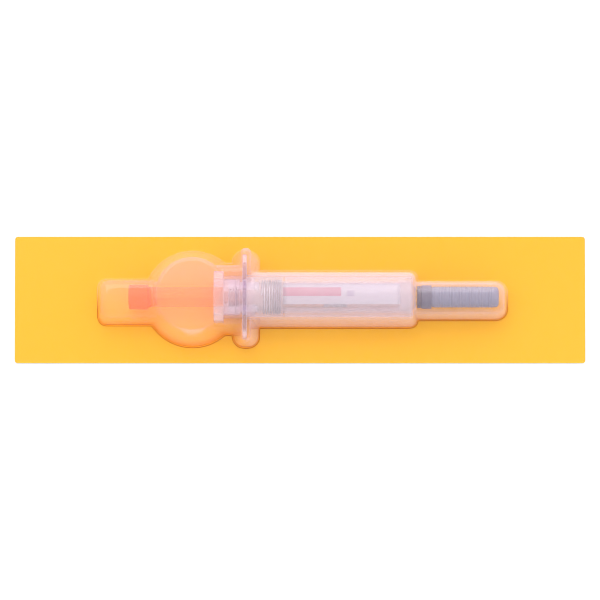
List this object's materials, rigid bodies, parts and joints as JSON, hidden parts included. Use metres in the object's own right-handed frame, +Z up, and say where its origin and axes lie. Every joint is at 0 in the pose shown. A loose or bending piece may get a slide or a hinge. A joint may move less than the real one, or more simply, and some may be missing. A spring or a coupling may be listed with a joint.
{
  "type": "prefilled safety syringe in blister pack",
  "caption": "Glass syringe with plunger, spring safety guard and grey needle shield, sealed under a clear formed blister on a yellow-orange card that opens from one end.",
  "frame": {"origin": "middle of the backing card's underside, which is the face that the pack rests on", "axes": "+X along the card, from the thumb button towards the needle; +Z up out of the card, through the blister; Y across the card"},
  "size_m": [0.171, 0.0382, 0.0166],
  "materials": {
    "card_board": "coated board, printed yellow-orange, satin",
    "clear_film": "clear thermoformed film, gloss",
    "guard_plastic": "clear moulded plastic, slightly hazy",
    "carrier_plastic": "frosted translucent plastic",
    "spring_steel": "drawn spring wire",
    "barrel_glass": "clear borosilicate tube glass",
    "label_paper": "white coated paper with a pink band",
    "needle_steel": "polished stainless tube",
    "dose_liquid": "clear liquid",
    "stopper_rubber": "moulded elastomer, matt",
    "rod_plastic": "translucent orange moulding, satin",
    "shield_rubber": "moulded elastomer, matt",
    "shield_plastic": "ribbed grey moulding, satin"
  },
  "bodies": {
    "card": {"backing_card": "card_board"},
    "blister": {"blister": "clear_film"},
    "guard": {"guard_tube": "guard_plastic", "finger_flange": "guard_plastic", "syringe_carrier": "carrier_plastic", "flange_clip": "carrier_plastic", "guard_spring": "spring_steel", "glass_barrel": "barrel_glass", "barrel_label": "label_paper", "needle": "needle_steel", "dose": "dose_liquid"},
    "plunger": {"plunger_rod": "rod_plastic", "stopper": "stopper_rubber"},
    "shield": {"inner_shield": "shield_rubber", "rigid_shield": "shield_plastic"}
  },
  "joints": [
    {"name": "blister_open", "type": "hinge", "parent": "card", "child": "blister", "pos_m": [-0.0855, 0, 0.0004], "axis": [0, -1, 0], "range_deg": [0, 110]},
    {"name": "syringe_lift", "type": "slide", "parent": "card", "child": "guard", "axis": [0, 0, 1], "range_m": [0, 0.02]},
    {"name": "shield_pull", "type": "slide", "parent": "guard", "child": "shield", "axis": [1, 0, 0], "range_m": [0, 0.03]},
    {"name": "plunger_press", "type": "slide", "parent": "guard", "child": "plunger", "axis": [1, 0, 0], "range_m": [0, 0.018], "deforming": ["dose"]}
  ],
  "couplings": [
    {"joint": "syringe_lift", "follows": "blister_open", "m_per_rad": 0.0104},
    {"joint": "shield_pull", "follows": "blister_open", "m_per_rad": 0.0156}
  ]
}
